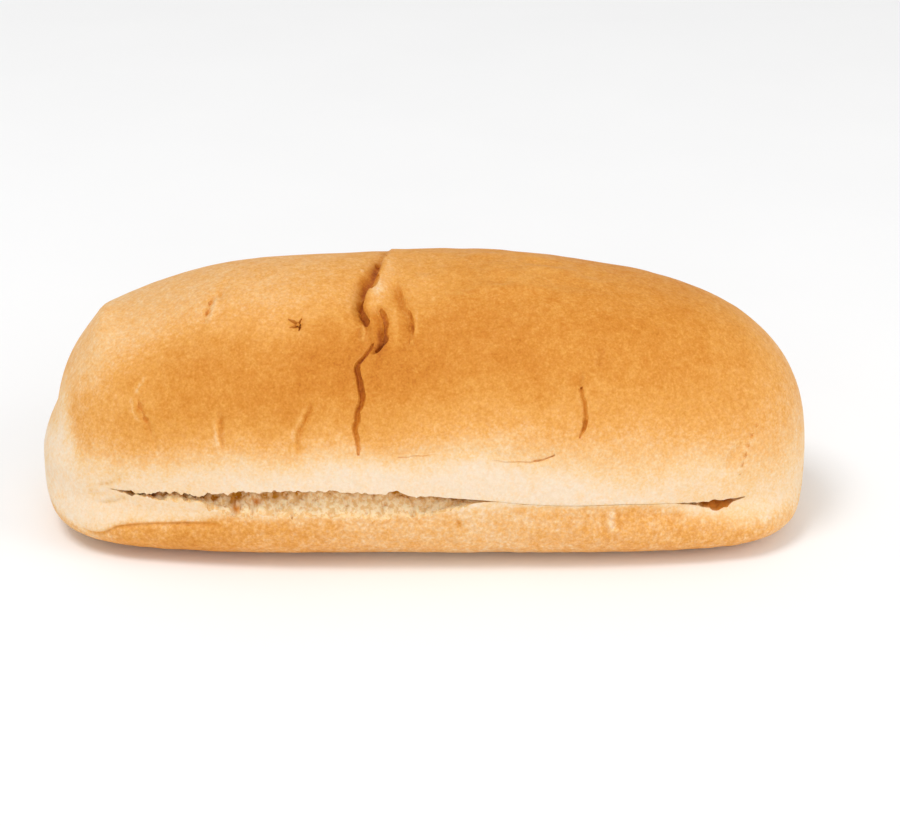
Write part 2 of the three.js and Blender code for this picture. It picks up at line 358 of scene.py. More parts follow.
# The whole line beside which the crust stands up on the right
MAIN_LINE = Trail([(-6, 72), (-6.8, 63), (-7.2, 57.2), (-8, 54.6), (-8.6, 51.4), (-9.4, 48.2),
                   (-11, 44.8), (-11.8, 41.4), (-11.2, 38.8), (-10.4, 37), (-10.3, 35.2),
                   (-9.9, 34), *LOWER_PART])
LEFT_PIT = [(-26, 38.3), (-24.8, 38), (-23.8, 37.2), (-24, 36.2)]
CRACKS = {
    # name: (path, width, depth, and for a dotted one the number of dots)
    "upper": ([(-9.2, 48), (-10, 45.8), (-11.3, 43.8), (-12.1, 41.4), (-11.6, 39.2), (-10.8, 37.4)],
              1.9, 0.9),
    "lower": ([(-9.9, 34.2), (-10.4, 33), *LOWER_PART, (-12.4, 13.6)], 1.25, 0.66),
    "top_split": ([(-7.6, 55), (-8.5, 54.2), (-9.6, 52.7)], 1.5, 0.7),
    "hook": ([(-8.6, 39.8), (-7.9, 38.6), (-7.6, 36.8), (-7.6, 35), (-8.1, 33.6), (-9.3, 32.6)],
             1.4, 0.7),
    "short_fold": ([(-3.2, 40), (-2.7, 38.2), (-2.4, 36.4), (-2.2, 34.9)], 0.8, 0.45),
    "right": ([(29.4, 26.6), (29.8, 24.6), (30.3, 22), (30.1, 19.4), (29.2, 17)], 0.9, 0.32),
    "right_end": ([(64.6, 22.6), (62.9, 18.1), (62.2, 15.2), (61.7, 12.4), (60.8, 7)],
                  1.3, 0.55, 5.5),
    "left_top": ([(-41, 45.4), (-41.8, 42.2), (-42.4, 39.6)], 1.1, 0.66, 2.5),
    "left_pit": (LEFT_PIT, 0.42, 0.3),
    "left_pit_arm": ([(-25.6, 36.7), (-24.6, 37.1), (-23.2, 38.4)], 0.34, 0.26),
    "left": ([(-55.3, 26), (-54.6, 23.4), (-53.4, 20.8), (-52.6, 18.4)], 0.95, 0.44, 2.5),
    "left_foot": ([(-52.4, 17.6), (-51.8, 15.8), (-51.5, 13.4)], 0.6, 0.2, 1.5),
    "skin_left": ([(-5, 13.1), (2.8, 13.7), (9.9, 13.5)], 0.34, 0.3),
    "skin_right": ([(10.8, 12.9), (14.2, 12.3), (20.5, 12.3), (24.6, 13.8)], 0.38, 0.34),
}
print("cracks:", ", ".join(CRACKS))

# %% Folds
def lines(names, rows):
    """Gives the values in each row their names, and lays a trail along each path."""
    made = [dict(zip(names.split(), row)) for row in rows]
    for line in made:
        line["trail"] = Trail(line["path"])
    return made


# A fold's two sides each have a height and a reach. Its step is as wide as `step` either way.
# Then the painted shade of the hollow on its left, and the share over which it fades in at the top.
FOLDS = lines("path left right step tone fade", [
    # the edge of the flap
    ([(-5.9, 70), (-6.8, 62), (-7.2, 57.2), (-8, 54.6), (-8.6, 51.4), (-9.2, 48), (-10.8, 44.6),
      (-11.7, 41.4), (-11.1, 39), (-10.2, 37.2), (-10.1, 35)],
     (-1.0, 2.2), (0.65, 2.0), 0.4, 0.24, 0.62),
    # the hook
    ([(-9.8, 41), (-8.7, 40), (-7.9, 37.9), (-7.5, 35.5), (-7.8, 33.6), (-8.9, 32.4),
      (-10.8, 31.7)], (-1.0, 1.6), (0.6, 1.7), 0.4, 0.1),
    # the short fold
    ([(-5.6, 47), (-4.6, 43.4), (-3.9, 41.2), (-3, 39.4), (-2.5, 37.6), (-2.2, 34.7)],
     (-0.65, 1.6), (0.45, 0.9), 0.35, 0.06),
    # the right wrinkle
    ([(30.6, 30.2), (29.4, 27.4), (29.8, 24.6), (30.3, 22), (30.1, 19.4), (28, 15.8)],
     (-0.3, 0.8), (0.25, 0.9), 0.3, 0.04),
    # the edge of the skin over the pale side
    ([(-6, 13.2), (2.8, 13.8), (11, 13.4), (20, 12.4), (25, 13.8), (28, 16)],
     (0.0, 1.0), (-0.25, 1.8), 0.25, 0.0),
])
print("folds:", len(FOLDS))

# %% Wrinkles
# Small raised specks
SPECKS = [[(35.2, 43), (35.6, 41.6)], [(-2.2, 29.6), (-1.6, 28.8)], [(24, 42), (24.4, 40.6)],
          [(-34, 30.2), (-33.2, 29.4)]]
# Each has its path, its height where it is the most, its reach, and its painted shade in a dent;
# below 0 that is painted highlight on a ridge
WRINKLES = lines("path height reach tone", [
    ([(33.6, 34.6), (33.2, 32.5), (32.7, 30)], -0.3, 0.55, 0.08),
    ([(28.6, 27.4), (29, 24.6), (29.5, 22), (29.3, 19)], 0.15, 0.4, -0.08),
    ([(12, 2.2), (20, 2), (27, 1.7), (36, 0.9), (45, 0.2), (52, -0.4)], -0.2, 0.5, 0.08),
    ([(20, 12.3), (23.4, 12.9), (25.4, 14.8)], -0.3, 0.6, 0.05),
    ([(21.5, 11.6), (24, 10.2), (26.5, 9.2)], -0.25, 0.4, 0.03),
    ([(-38.4, 50.4), (-39, 46.8), (-40.3, 43.9)], -0.35, 0.8, 0.03),
    ([(-40.6, 46.6), (-41.5, 42.9), (-42.6, 39)], -0.3, 0.6, 0.05),
    ([(-39.6, 46.4), (-40.4, 42.9), (-41.4, 39)], 0.25, 0.45, -0.1),
    (LEFT_PIT, -0.3, 0.6, 0.08),
    ([(-25.4, 37), (-24.1, 37.1), (-22.9, 38.4)], -0.25, 0.3, 0.08),
    ([(61.4, 17.2), (59.7, 14.5), (58.3, 11.2), (57.5, 7.9)], -0.4, 0.65, 0.05),
    ([(-57.4, 8.3), (-60.1, 5.4), (-63.4, 4)], -0.45, 0.5, 0.12),
    ([(-57, 2), (-59.6, 0.2), (-63.2, -1.8)], -0.4, 0.5, 0.08),
    ([(-59, 4.4), (-62, 1.6), (-66, 0.6)], -0.3, 0.8, 0.05),
    ([(6.4, -0.6), (6.6, -2.9)], -0.5, 0.45, 0.14),
    ([(34.3, 1), (34.2, -1.5), (34.5, -4.6)], -0.2, 0.45, 0.06),
    ([(35.8, 0.6), (35.7, -1.6), (36, -4.9)], 0.25, 0.6, -0.22),
    ([(37.3, 0.5), (37, -2), (37.2, -4)], -0.2, 0.45, 0.05),
    ([(30.6, -1.4), (30.4, -3.6)], -0.3, 0.4, 0.08),
    ([(-11.9, 38.2), (-11.5, 36.8), (-11.5, 35.5), (-11.9, 34)], 0.5, 0.4, -0.16),
    ([(-12.6, 37.2), (-12.5, 35.2)], -0.3, 0.5, 0.1),
    ([(-2.9, 34.1), (-1.9, 34.1)], 0.45, 0.45, -0.16),
    ([(-1.5, 40.6), (-1.6, 37.4), (-1.4, 35)], 0.25, 0.45, -0.14),
    ([(9, 23.4), (10, 19.6), (10.6, 16.6)], -0.15, 0.6, 0.02),
    ([(8.2, 27.2), (8.9, 26.8)], 0.25, 0.4, -0.1),
    ([(-12.6, 50.6), (-11.6, 50.8)], 0.3, 0.45, -0.18),
    ([(-39.2, 46.2), (-39.6, 44.9)], -0.3, 0.35, 0.14),
    *[(speck, 0.2, 0.4, -0.1) for speck in SPECKS],
    ([(-39, 22.4), (-38.5, 20.2), (-38.7, 17.4), (-38, 14.4)], -0.5, 0.45, 0.09),
    ([(-39.9, 21.4), (-39.5, 17.4), (-38.9, 14.8)], 0.2, 0.4, -0.14),
    ([(-21, 24), (-22.2, 21.2), (-23.8, 18), (-24, 16.2), (-23.4, 13.4)], -0.5, 0.5, 0.11),
    ([(-21.8, 24), (-23.1, 21.2), (-24.7, 18), (-24.9, 15.6)], 0.2, 0.4, -0.15),
    ([(-53, 30.6), (-54.4, 28.6), (-55.2, 26.8)], 0.35, 0.4, -0.2),
    ([(-55.3, 26), (-54.6, 23.2), (-53.4, 20.8), (-52.6, 18.4), (-51.8, 16), (-51.4, 13)],
     -0.3, 0.55, 0.04),
    ([(-56.1, 27), (-55.5, 23.2), (-54.3, 20.6)], 0.3, 0.4, -0.18),
    ([(-71.4, 34), (-69.8, 25.1), (-69.4, 17.5), (-69.8, 9)], -0.4, 1.8, 0.0),
    # the crease over the foot, left and right
    ([(-68.5, -7.8), (-65, -9.4), (-62, -8.3), (-58.8, -5.9), (-50.8, -3.9), (-38, -2.3)],
     -0.5, 0.45, 0.2),
    ([(42, -0.9), (48, -1.9), (55, -3.1), (63, -4.6), (69, -6.4)], -0.2, 0.7, 0.03),
    # a few on the back, as faint as those in front
    ([(22, 76), (23.2, 81), (22.4, 86), (23.4, 90)], -0.35, 0.6, 0.06),
    ([(-33, 80), (-34.4, 85), (-33.8, 89)], -0.35, 0.6, 0.06),
    ([(-32, 80), (-33.4, 85), (-32.9, 88)], 0.15, 0.4, -0.05),
    ([(51, 74), (52.4, 79), (51.6, 84)], -0.3, 0.5, 0.06),
    ([(-8, 95), (0, 96), (8, 95.4)], -0.25, 0.5, 0.04),
    ([(-55, 68), (-54, 73), (-55.6, 79)], -0.3, 0.6, 0.05),
    # nicks in the right end's edge
    ([(75.6, 3.4), (75.6, 0.2)], -1.1, 1.1, 0.2),
    ([(75.2, -2.4), (75.2, -4.4)], -0.8, 0.8, 0.16),
    ([(74.8, -9.6), (74.6, -12)], -0.7, 1.0, 0.15),
])
print("wrinkles:", len(WRINKLES))

# %% [markdown]
# ## Relief of the crust
#
# Now each place on the crust gets its height over the plain loaf. The slow swell of the dome
# comes first, then the step beside the big crack, then folds, wrinkles and a few round hollows.

# %% Sizes of the relief
LONG_WAVE = dict(height=0.3, along=8, across=14)
ROUND_WAVE = dict(height=0.25, along=15, around=9)
WAVES_AT, WAVES_REACH = 45, 40

CRACK_RISE, RISE_REACH = 0.55, 9  # right of the main crack the crust stands up
CRACK_DIP, DIP_REACH = 0.5, 5  # and left of it the crust sinks
CRACK_STEP_WIDTH = 0.8
STEP_FOOT, STEP_TOP = (12, 34), (50, 66)
FADE = 0.18  # share of a line over which it fades at either end

# Mounds and hollows: x, s, height, and the reach along x and along s
SKIN_EDGE = (8, 15, 0.5, 22, 9)
SKIN_EDGE_OVER = (11, 16)  # it starts at one of these heights s and is full at the other
PATCHES = [
    (-64, 50, 1.5, 4.5, 16),  # the dome's left shoulder
    (-64.6, 50, 1.2, 2.2, 8),  # and its corner
    (-50, 50, -0.75, 9, 14),  # and the flat beside it
    (-11.4, 46.4, -0.9, 1.6, 3.0),  # hollow beside the crack
    (-9.6, 42.4, 0.4, 1.5, 2.4),  # crest of the flap
    (-4.9, 43.8, -0.35, 1.4, 2.6),  # hollow by the short fold
]
DENTS = (14, 50, 0.6, 17, 9)  # the crown is dented here
DENT_SIZE, DENT_SQUEEZE = 3.6, 1.6  # the dents are shorter along s than along x
dents = Wander(13)
FOLD_WAVER = dict(sideways=0.28, size=1.5)
waver_noise = Wander(14)
print("mounds and hollows:", len(PATCHES))


# %% The relief's rule
def patch(at_x, at_s, x, s, height, reach_x, reach_s):
    return height * bell(at_x - x, reach_x) * bell(at_s - s, reach_s)


def fade_ends(share, top=FADE):
    return smooth(0, top, share) * smooth(1, 1 - FADE, share)


def crack_step(x, s):
    """The step between the two sides of the main crack."""
    beside, _ = MAIN_LINE.near(x, s, BELL_ENDS * RISE_REACH)
    right_of_it = smooth(-CRACK_STEP_WIDTH, CRACK_STEP_WIDTH, beside)
    left = -CRACK_DIP * bell(beside, DIP_REACH)
    right = CRACK_RISE * bell(beside, RISE_REACH)
    return mix(left, right, right_of_it) * smooth(*STEP_FOOT, s) * (1 - smooth(*STEP_TOP, s))


def fold_lift(x, s, fold):
    reach = max(fold["left"][1], fold["right"][1])
    beside, share = fold["trail"].near(x, s, BELL_ENDS * reach)
    beside = beside + FOLD_WAVER["sideways"] * waver_noise(FOLD_WAVER["size"], x, s)
    left, right = (height * bell(beside, far) for height, far in (fold["left"], fold["right"]))
    across = smooth(-fold["step"], fold["step"], beside)
    return mix(left, right, across) * fade_ends(share, fold.get("fade", FADE))


def wrinkle_mark(x, s, wrinkle, kind):
    """The height of a wrinkle at each place, or the painted shade and highlight on it."""
    beside, share = wrinkle["trail"].near(x, s, BELL_ENDS * wrinkle["reach"])
    return wrinkle[kind] * bell(beside, wrinkle["reach"]) * fade_ends(share)


def relief(x, s, y):
    """Height over the plain loaf, in millimetres."""
    long = LONG_WAVE["height"] * np.sin(x / LONG_WAVE["along"] + y / LONG_WAVE["across"])
    round_ = ROUND_WAVE["height"] * np.cos(x / ROUND_WAVE["along"] - s / ROUND_WAVE["around"])
    lift = (long + round_) * bell(s - WAVES_AT, WAVES_REACH) + crack_step(x, s)
    lift += patch(x, s, *SKIN_EDGE) * smooth(*SKIN_EDGE_OVER, s)
    lift += sum(patch(x, s, *one) for one in PATCHES)
    lift += patch(x, s, *DENTS) * dents(DENT_SIZE, x, DENT_SQUEEZE * s)
    lift += sum(fold_lift(x, s, fold) for fold in FOLDS)
    lift += sum(wrinkle_mark(x, s, wrinkle, "height") for wrinkle in WRINKLES)
    return lift


def crust_radius(x, s, y, z):
    """Distance from the long axis to the crust, in the direction of the point (y, z)."""
    along, section, round_ = shares_out(x, y, z)
    share = np.maximum(1 - np.minimum(along, 1) ** round_, 0) ** (1 / round_)
    radius = np.hypot(y, z - WAIST) * share / np.maximum(section, NEARLY_ZERO)
    return radius + relief(x, s, y) * smooth(0, WAIST, radius)


print("relief right of the crack, mm:", relief(np.array([-4.0]), np.array([50.0]), 0).round(2))

# %% [markdown]
# ## Shaping the loaf
#
# The loaf starts as a cube, because a cube divides into even square cells and has no pole where
# the cells crowd together, as a sphere has. Its edges are divided along X, Y and Z in turn.
# Where the small folds and the cut will be, the cells are divided again, so that the fine
# shapes get enough points without making the whole mesh heavy.
#
# Then every point is blown out to the loaf's surface, and a flat cut makes the foot.

# %% Reading and moving the points of a mesh
def points_of(obj):
    """The mesh's points as an array, in millimetres."""
    flat = np.zeros(len(obj.data.vertices) * 3)
    obj.data.vertices.foreach_get("co", flat)
    return flat.reshape(-1, 3) / MM


def cube_points(obj):
    """The points of a block that has been divided but not yet shaped, from -1 to 1."""
    return np.clip(points_of(obj), -1, 1)


def move_points(obj, points):
    obj.data.vertices.foreach_set("co", (np.asarray(points) * MM).ravel())
    obj.data.update()


def face_centres(obj, points):
    """The middle of each face, if its corners were at these points."""
    counts = np.zeros(len(obj.data.polygons), int)
    corners = np.zeros(len(obj.data.loops), int)
    obj.data.polygons.foreach_get("loop_total", counts)
    obj.data.loops.foreach_get("vertex_index", corners)
    owner = np.repeat(np.arange(len(counts)), counts)
    return np.stack([np.bincount(owner, points[corners, k]) / counts for k in range(3)], 1)


print("the floor's corners, mm:", points_of(floor).round().tolist())


# %% Dividing and editing a mesh
def select_only(obj):
    bpy.ops.object.select_all(action="DESELECT")
    obj.select_set(True)
    bpy.context.view_layer.objects.active = obj


def edit(obj, kind, action="SELECT"):
    """Opens the object in edit mode, with all its points, edges or faces selected or none."""
    select_only(obj)
    bpy.ops.object.mode_set(mode="EDIT")
    bpy.ops.mesh.select_mode(type=kind)
    bpy.ops.mesh.select_all(action=action)


def end_edit():
    bpy.ops.object.mode_set(mode="OBJECT")


def choose(obj, kind, chosen):
    """Opens the object in edit mode with only the chosen points, edges or faces selected."""
    edit(obj, kind, "DESELECT")
    end_edit()
    elements = {"VERT": obj.data.vertices, "EDGE": obj.data.edges, "FACE": obj.data.polygons}
    elements[kind].foreach_set("select", chosen)
    bpy.ops.object.mode_set(mode="EDIT")


def subdivide(obj, kind, chosen, cuts):
    choose(obj, kind, chosen)
    bpy.ops.mesh.subdivide(number_cuts=cuts)
    end_edit()


def face_out(obj):
    """Turns all the faces outwards."""
    edit(obj, "FACE")
    bpy.ops.mesh.normals_make_consistent(inside=False)
    end_edit()


def block(name):
    """A cube from -1 to 1 mm, the start of each shape here."""
    bpy.ops.object.select_all(action="DESELECT")
    bpy.ops.mesh.primitive_cube_add(size=2 * MM)
    made = bpy.context.object
    made.name = made.data.name = name
    return made


def divide(obj, axis, *factors):
    """Divides the edges that run along an axis, by each factor in turn."""
    for factor in factors:
        points = points_of(obj)
        ends = np.zeros(len(obj.data.edges) * 2, int)
        obj.data.edges.foreach_get("vertices", ends)
        span = np.abs(np.diff(points[ends.reshape(-1, 2)], axis=1))[:, 0]
        subdivide(obj, "EDGE", span.argmax(1) == axis, factor - 1)


# %% Where the points of the loaf go
GRAIN_HEIGHT, GRAIN_SIZE = 0.045, 2.3  # fine unevenness of the whole skin
SWELL_HEIGHT, SWELL_SIZE = 0.12, 7
FOOT_GRAIN = 0.07  # more of it on the foot, which baked against the tin,
FOOT_GRAIN_OVER = (2, -6)  # from this height over the waist down to this one
skin_grain = Wander(11)
skin_swell = Wander(12)


def on_loaf(box):
    """Blows the points of a cube out to the surface of the loaf."""
    half = np.where(box[:, 2] < 0, BASE_DEPTH, HEIGHT - WAIST)
    x, y, rise = box[:, 0] * LENGTH / 2, box[:, 1] * WIDTH / 2, box[:, 2] * half
    share = outness(x, y, WAIST + rise)
    x, y, rise = x / share, y / share, rise / share
    s, radius = place_of(x, y, WAIST + rise)
    lift = relief(x, s, y) * smooth(0, WAIST, radius)
    grain = GRAIN_HEIGHT + FOOT_GRAIN * smooth(*FOOT_GRAIN_OVER, rise)
    lift += grain * skin_grain(GRAIN_SIZE, x, y, rise)
    lift += SWELL_HEIGHT * skin_swell(SWELL_SIZE, x, y, rise)
    stretch = 1 + lift / np.maximum(radius, WAIST)
    z = WAIST + rise * stretch
    return np.stack([x + setback(x, z), y * stretch, z], 1)


print("the crown, mm:", on_loaf(np.array([[0.0, 0.0, 1.0]])).round(1))

# %% Make the loaf
LOAF_CELLS = ((13, 12), (64,), (64,))  # factors along X, Y and Z
# Areas of the crust: from x, to x, from s, to s
FOLDS_AREA = (-17, 1, 11, 60)
CRISP_AREA = (-13.8, -0.8, 30, 55)
CUT_AREA = (-65, 65, -4, 6)
WRINKLE_AREAS = [(26, 34, 14, 36), (56, 66, 7, 23), (-57, -50, 12, 32), (-27, -20, 12, 40),
                 (-44, -38, 37, 52), (-6, 27, 10.5, 15.5), (-40.5, -36.5, 13, 24),
                 (-70, -37, -11, -1)]


def inside(area, x, s):
    x_low, x_high, s_low, s_high = area
    return (x > x_low) & (x < x_high) & (s > s_low) & (s < s_high)


def divide_again(obj, areas):
    """Divides the cells that will lie in one of the areas of the crust."""
    middles = face_centres(obj, on_loaf(cube_points(obj)))
    s, _ = place_of(*middles.T)
    chosen = np.any([inside(area, middles[:, 0], s) for area in areas], axis=0)
    subdivide(obj, "FACE", chosen, 1)
    return int(chosen.sum())


bun = block("bun_dressed")
for axis, factors in enumerate(LOAF_CELLS):
    divide(bun, axis, *factors)
print("cells of the cube:", len(bun.data.polygons))
print("divided again:", divide_again(bun, [FOLDS_AREA, CUT_AREA, *WRINKLE_AREAS]))
print("and once more:", divide_again(bun, [CRISP_AREA]))
move_points(bun, on_loaf(cube_points(bun)))

# %% Cut the foot flat
ON_THE_CUT = 1e-4 * MM  # points this close to the flat cut count as on it

edit(bun, "FACE")
bpy.ops.mesh.bisect(plane_co=(0, 0, 0), plane_no=(0, 0, 1), use_fill=True, clear_inner=True,
                    threshold=ON_THE_CUT)
end_edit()
face_out(bun)
print("faces after the flat cut:", len(bun.data.polygons))

# %% [markdown]
# ## The knife cut
#
# A bread knife leaves a thin gap with ragged lips, and where the bread tore instead, the lower
# lip falls away and shows the crumb. The cut is made as its opposite: a thin leaf with the
# shape of the gap, which a Boolean then takes out of the loaf. The leaf's lower side becomes
# the torn crumb, so the pores of the crumb are bumps on the leaf.

# %% The cut's sizes
CUT_LEFT, CUT_RIGHT = -60.5, 62
CUT_BACK = 19  # y of the hinge
CUT_HIGH, CUT_LOW = 15.4, 12.6  # height of the upper lip, on the left and on the right
CUT_FALL = (0, 62)  # x where it goes from one to the other
LIP_RISES = [(-17, 1.9, 20), (-5.3, 0.9, 1.8)]  # where it arches up: x, height and reach
LIP_WANDER = dict(height=0.2, along=5)
CUT_HINGE = 14.5  # height of the cut at the hinge
HINGE_OVER = (2, 40)  # so far behind the lips the cut leaves their height and has the hinge's
CUT_ENDS = 6  # the larger, the squarer the ends of the cut inside the bread

# How far the halves stand apart at the mouth, at a few places x
GAPS = {-60.5: 0.05, -59: 0.12, -57.7: 0.4, -56: 0.9, -52: 1.4, -49: 1.0, -44: 1.1, -41: 1.5,
        -38: 1.7, -34: 1.3, -31: 0.9, -27: 0.8, -22: 1.1, -12: 1.0, -5: 1.4, 0: 1.1, 5: 0.6,
        8: 0.25, 10: 0.05, 12: 0.03, 20: 0.02, 28: 0.02, 33: 0.06, 44: 0.02, 48: 0.04, 50: 0.35,
        52: 0.7, 54: 1.2, 56.5: 1.5, 58: 1.2, 59.4: 0.5, 60.6: 0.4, 62: 0.1}
GAP_INSIDE, GAP_LEAST = 0.4, 0.05
TORN_LIP = (0.1, 0.9)  # gaps at which the lips start to be torn, and are
# How far the torn lower lip falls away
TEARS = {-62: 0.05, -52: 0.2, -46: 0.5, -42: 1.1, -39: 1.9, -37: 3.2, -35: 3.0, -32: 3.7, -28: 4.5,
         -20: 4.4, -8: 3.9, 0: 3.0, 6: 1.7, 9: 0.8, 12: 0.25, 14: 0.05, 52: 0.05, 54: 0.25, 56: 0.5,
         58: 0.4, 60: 0.2, 62: 0.05}
TEAR_REACH, TEAR_EDGE = 5.5, 0.5
TORN_CRUMB = (0.1, 1.5)  # depths at which bubbles start to show, and are full
# How ragged the lips are
RAGGED_AT = {-60: 0.5, -57: 1.9, -36: 1.7, -28: 0.95, -5: 0.75, 2: 0.75, 12: 0.5, 47: 0.3, 50: 0.7,
             54: 0.8, 63: 0.6}
# How much higher the upper lip is than the rule for it gives
LIP_SHIFT = {-62: -1.0, -57: -0.8, -52: -0.45, -46: 0.0, -41: 0.2, -36: 0.35, -30: 0.2, -22: 0,
             55: 0, 60: -0.4, 63: -0.6}

RAGGED = dict(height=0.5, size=0.75, drawn=0.4)  # teeth of torn skin along the lips
SHRED = dict(height=0.3, size=0.4, row=9)  # row keeps their noise apart from the teeth's
TOP_TEETH, LOW_TEETH, SHUT_TEETH = 0.75, 0.8, 0.3  # shares of them on the lips
# Bubbles in the crumb: depth, size, and the height of the noise at which they start
PORES = [(0.7, 1.1, 0.1), (0.4, 0.55, -0.1)]
PORE_FULL = 0.7  # and the height at which they are full
PORE_LEVEL = 0.6  # the noise is read at this share of the lip's height
lip_noise = Wander(21)
pore_noise = Wander(22)
LEAF_CELLS = ((20, 16), (34,))  # factors along X and Y
LEAF_PROUD = 2.5  # the leaf starts this far in front of the bread
LEAF_FINE, LEAF_NEAR = 0.7, 10  # this share of its cells lies in the first so many millimetres,
LEAF_BEHIND = 1  # and at its ends it goes on this far behind them
LEAF_LEAST = 0.03  # it is nowhere thinner than this
print("the cut, mm:", CUT_RIGHT - CUT_LEFT, "long")


# %% Where the points of the leaf go
def lip_height(x):
    """Height of the upper lip."""
    level = mix(CUT_HIGH, CUT_LOW, smooth(*CUT_FALL, x))
    for at, height, reach in LIP_RISES:
        level = level + height * bell(x - at, reach)
    wander = LIP_WANDER["height"] * np.sin(x / LIP_WANDER["along"])
    return level + wander + along_cut(LIP_SHIFT, x)


def mouth_at(x):
    """y of the loaf's front, which the lips of the cut follow."""
    round_ = by_end(END_ROUND, x)
    return -WIDTH / 2 * (1 - (np.abs(x) / (LENGTH / 2)) ** round_) ** (1 / round_)


def along_cut(places, x):
    """The value at x of a line that is given at a few places."""
    return np.interp(x, list(places), list(places.values()))


def pores(x, y, z):
    """Depth of the bubbles in torn crumb: round, and of two sizes."""
    return sum(smooth(start, PORE_FULL, pore_noise(size, x, y, z)) * depth
               for depth, size, start in PORES)


def on_leaf(box):
    """The shape of what the knife and the tear took out."""
    middle, half_length = (CUT_LEFT + CUT_RIGHT) / 2, (CUT_RIGHT - CUT_LEFT) / 2
    x = middle + box[:, 0] * half_length
    inward = (box[:, 1] + 1) / 2
    openness = 1 - np.abs(box[:, 0]) ** CUT_ENDS
    front = mouth_at(x) - LEAF_PROUD
    near = front + LEAF_NEAR
    back = mix(near + LEAF_BEHIND, CUT_BACK, openness)
    y = np.where(inward < LEAF_FINE, mix(front, near, inward / LEAF_FINE),
                 mix(near, back, (inward - LEAF_FINE) / (1 - LEAF_FINE)))
    from_mouth = y - mouth_at(x)
    at_mouth = 1 - smooth(0, TEAR_REACH, from_mouth)
    teeth = RAGGED["height"] * lip_noise(RAGGED["size"], x, RAGGED["drawn"] * y)
    teeth += SHRED["height"] * lip_noise(SHRED["size"], x, y, SHRED["row"])
    teeth = teeth * along_cut(RAGGED_AT, x)
    gap = mix(GAP_INSIDE * openness + GAP_LEAST, along_cut(GAPS, x), at_mouth)
    tear = along_cut(TEARS, x) * (1 - smooth(-TEAR_EDGE, TEAR_REACH, from_mouth))
    roof = mix(lip_height(x), CUT_HINGE, smooth(*HINGE_OVER, from_mouth))
    open_here = smooth(*TORN_LIP, gap)
    top = roof + TOP_TEETH * teeth * open_here
    torn = pores(x, y, PORE_LEVEL * roof) * openness * smooth(*TORN_CRUMB, tear)
    low_teeth = LOW_TEETH * teeth * (SHUT_TEETH + (1 - SHUT_TEETH) * open_here)
    low = roof - gap - low_teeth - tear - torn
    return np.stack([x, y, np.where(box[:, 2] > 0, top, np.minimum(low, top - LEAF_LEAST))], 1)


leaf = block("cut_leaf")
for axis, factors in enumerate(LEAF_CELLS):
    divide(leaf, axis, *factors)
move_points(leaf, on_leaf(cube_points(leaf)))
print("leaf faces:", len(leaf.data.polygons))

# %% [markdown]
# ## The crack bars
#
# Each crack gets a thin bar that follows its line over the crust. The bar stands a little out
# of the bread at the top, narrows downwards, and is rough, because torn bread is never smooth.

# %% Bars for the cracks
BAR_STEP = 0.35
BAR_PROUD = 1.3
BAR_FOOT = 0.06  # half the width at the bottom of a crack
# The bar's four rows, from the top one down: height as shares of BAR_PROUD and of the crack's
# depth, and half the width as a share of the crack's
BAR_ROWS = [(1, 0, 1.3), (0.2, 0, 1.15), (0, -0.3, 0.7), (0, -1, 0)]
BAR_ENDS = (0.06, 0.94)  # a bar ends before its width has gone down to nothing
DOTS_APART = 0.12  # share of its width that a dotted crack keeps between its dots
# The noise runs along the bar; sides, rows and swerve are how far apart it is read for them
BAR_ROUGH = dict(sideways=0.2, width=0.45, size=0.9, sides=3, rows=2, swerve=20)
bar_noise = Wander(31)


def on_crust(x, s):
    """Points of the crust at the places (x, s), and the way out of the loaf there."""
    turn = s / ROLL
    y, rise = -np.cos(turn), np.sin(turn)
    radius = crust_radius(x, s, y, WAIST + rise)
    point = np.stack([x, radius * y, WAIST + radius * rise], 1)
    point[:, 0] += setback(x, point[:, 2])
    return point, np.stack([np.zeros_like(x), y, rise], 1)


def on_bar(box, trail, width, depth, dotted=0):
    """Lays the points of a bar along a trail."""
    share = (box[:, 0] + 1) / 2
    here, outward = on_crust(*trail.at(share))
    step = trail.STEP / trail.length
    ahead, _ = on_crust(*trail.at(np.minimum(share + step, 1)))
    behind, _ = on_crust(*trail.at(np.maximum(share - step, 0)))
    forward = (ahead - behind) / np.linalg.norm(ahead - behind, axis=1, keepdims=True)
    sideways = np.cross(outward, forward)
    sideways /= np.linalg.norm(sideways, axis=1, keepdims=True)
    taper = np.sqrt(np.sin(math.pi * mix(*BAR_ENDS, share)))
    if dotted:
        dots = np.abs(np.sin(share * math.pi * dotted)) ** 2
        taper = taper * (DOTS_APART + (1 - DOTS_APART) * dots)
    down = (1 - box[:, 2]) / 2
    travelled = share * trail.length
    at_side, at_row = BAR_ROUGH["sides"] * box[:, 1], BAR_ROUGH["rows"] * down
    rough = bar_noise(BAR_ROUGH["size"], travelled, at_side, at_row)
    row = np.rint(down * (len(BAR_ROWS) - 1)).astype(int)
    proud, deep, wide = np.array(BAR_ROWS, float)[row].T
    half = (BAR_FOOT + wide * width / 2) * taper * (1 + BAR_ROUGH["width"] * rough)
    swerve = bar_noise(BAR_ROUGH["size"], travelled, BAR_ROUGH["swerve"])
    swerve = BAR_ROUGH["sideways"] * swerve
    lift = proud * BAR_PROUD + deep * depth * taper
    return here + sideways * (box[:, 1] * half + swerve)[:, None] + outward * lift[:, None]


def crack_bar(name, path, *shape):
    trail = Trail(path)
    bar = block("crack_" + name)
    divide(bar, 0, max(4, round(trail.length / BAR_STEP)))
    divide(bar, 2, len(BAR_ROWS) - 1)
    move_points(bar, on_bar(cube_points(bar), trail, *shape))
    return bar


bars = [crack_bar(name, *crack) for name, crack in CRACKS.items()]
print("bars:", len(bars))

# %% [markdown]
# ## Taking the cut and the cracks out
#
# The leaf has a material of its own before the Boolean, and the Boolean passes it on to the
# faces that it makes. That is how the torn crumb later gets its own finish. The cracks go
# through browned skin, so their walls keep the crust's material.

